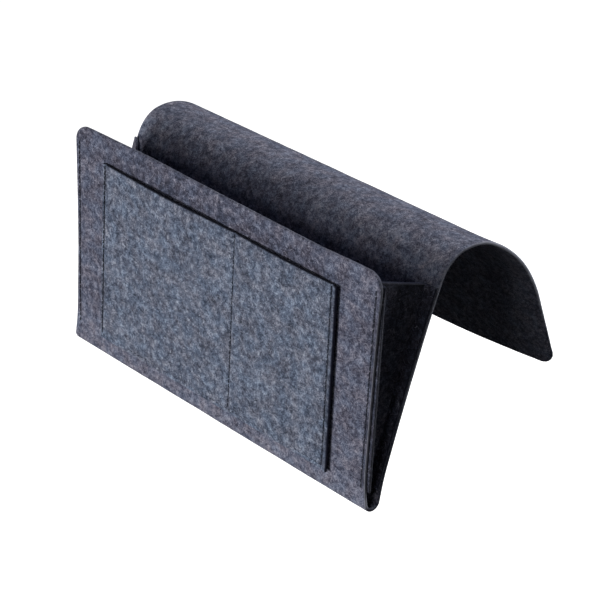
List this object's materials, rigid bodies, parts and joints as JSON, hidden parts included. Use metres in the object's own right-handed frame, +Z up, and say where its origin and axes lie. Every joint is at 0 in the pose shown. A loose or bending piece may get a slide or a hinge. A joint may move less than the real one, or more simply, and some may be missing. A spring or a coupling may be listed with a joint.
{
  "type": "bedside caddy",
  "caption": "Felt caddy that hangs over a rail: folded sheet with a V-shaped main pocket, side gussets, a stitched flat front pocket and a springy saddle flap.",
  "frame": {"origin": "on the underside of the saddle at its highest line, in the middle of the width, where a rail or a sofa arm carries the caddy", "axes": "+X along the width, to the right as seen from the front; +Y from the front wall to the rear flap; +Z up, with the front wall upright"},
  "size_m": [0.32, 0.2229, 0.194],
  "materials": {
    "felt": "needle-punched polyester felt, dark blue-grey with paler heathered fibres, matt and slightly fuzzy",
    "thread": "spun polyester sewing thread, dark blue-grey, matt"
  },
  "bodies": {
    "back": {"back_wall": "felt", "bottom_fold": "felt", "left_back_seam": "thread", "right_back_seam": "thread", "left_gusset_back_flange": "felt", "right_gusset_back_flange": "felt", "left_gusset_web": "felt", "right_gusset_web": "felt", "saddle_shoulder": "felt"},
    "front": {"front_wall": "felt", "front_pocket": "felt", "pocket_left_seam": "thread", "pocket_divider_seam": "thread", "pocket_right_seam": "thread", "pocket_bottom_seam": "thread", "left_front_seam": "thread", "right_front_seam": "thread", "left_gusset_front_flange": "felt", "right_gusset_front_flange": "felt"},
    "crown": {"saddle_crown": "felt", "saddle_fall": "felt"},
    "flap": {"rear_flap": "felt"}
  },
  "joints": [
    {"name": "pocket_fold", "type": "hinge", "parent": "back", "child": "front", "pos_m": [0, -0.08504, -0.1767], "axis": [1, 0, 0], "range_deg": [-16.5, 0], "stiffness_Nm_per_rad": 0.2, "springref_deg": 2.86, "deforming": ["left_gusset_web", "right_gusset_web"]},
    {"name": "shoulder_bend", "type": "hinge", "parent": "back", "child": "crown", "pos_m": [0, -0.02236, -0.0055], "axis": [1, 0, 0], "range_deg": [-25, 60], "stiffness_Nm_per_rad": 0.4, "springref_deg": 3.21, "deforming": ["saddle_shoulder"]},
    {"name": "fall_bend", "type": "hinge", "parent": "crown", "child": "flap", "pos_m": [0, 0.06181, -0.03248], "axis": [1, 0, 0], "range_deg": [-25, 60], "stiffness_Nm_per_rad": 0.4, "springref_deg": 3.21, "deforming": ["saddle_fall"]}
  ],
  "couplings": [
    {"joint": "fall_bend", "follows": "shoulder_bend", "ratio": 1}
  ]
}
